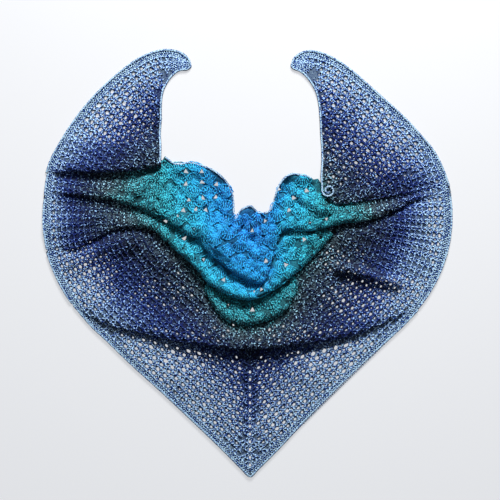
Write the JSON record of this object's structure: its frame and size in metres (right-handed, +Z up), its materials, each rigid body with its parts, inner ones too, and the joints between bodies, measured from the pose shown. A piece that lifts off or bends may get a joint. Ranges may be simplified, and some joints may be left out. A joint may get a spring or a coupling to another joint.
{
  "type": "crocheted triangular shawl laid flat",
  "caption": "Triangular crocheted lace and mesh shawl, laid flat in a heart shape with curled tips and folds bunched below its neck edge.",
  "frame": {"origin": "on the table under the middle of the laid shawl's outline", "axes": "+Z up off the table, +Y towards the two curled tips, +X to the right with the point towards the viewer"},
  "size_m": [0.8201, 0.8578, 0.0298],
  "materials": {
    "pale_net": "matt marled wool, pale denim and navy",
    "navy_net": "matt marled wool, navy with pale flecks",
    "black_net": "matt marled wool, black with white flecks",
    "teal_lace": "matt marled wool, teal and turquoise",
    "blue_lace": "matt marled wool, cerulean blue",
    "edging": "matt wool cord, light blue"
  },
  "bodies": {
    "root": {"lower_point": "pale_net", "middle_net": "navy_net", "teal_band": "teal_lace", "fan_band": "teal_lace", "neck_lobes": "blue_lace", "left_wing": "navy_net", "right_wing": "black_net", "edging_lower": "edging", "edging_left_middle_net": "edging", "edging_left_fan_band": "edging", "edging_left_neck_lobes": "edging", "edging_right_middle_net": "edging", "edging_neck": "edging", "edging_left_wing": "edging", "edging_right_wing": "edging"}
  },
  "joints": []
}
